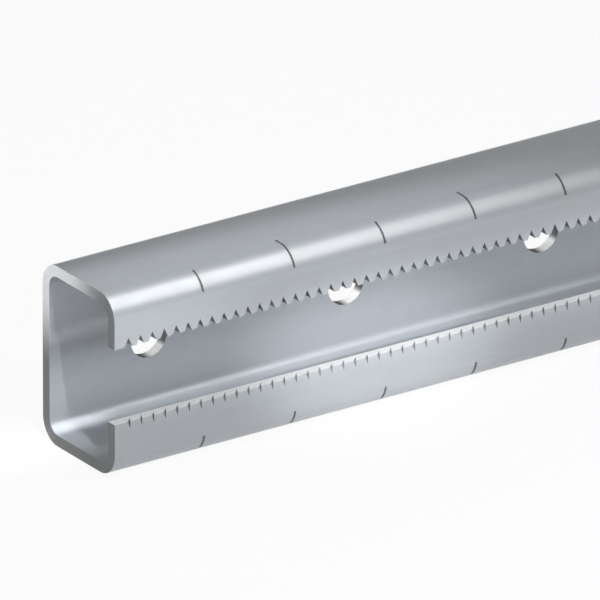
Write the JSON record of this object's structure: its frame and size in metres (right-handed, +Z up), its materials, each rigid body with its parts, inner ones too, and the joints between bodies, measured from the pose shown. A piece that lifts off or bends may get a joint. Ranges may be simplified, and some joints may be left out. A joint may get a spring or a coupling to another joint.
{
  "type": "slotted mounting rail",
  "caption": "Galvanised C-section mounting rail with a slotted web and notched, inturned lips that hold channel nuts along its open side.",
  "frame": {"origin": "centre of the rail's length and depth, at the underside of the lower flange", "axes": "+X along the rail, +Y out of the web's back, +Z up; the throat opens to -Y"},
  "size_m": [1, 0.027, 0.041],
  "materials": {
    "galvanised_steel": "satin galvanised"
  },
  "bodies": {
    "root": {"mounting_rail": "galvanised_steel"}
  },
  "joints": []
}
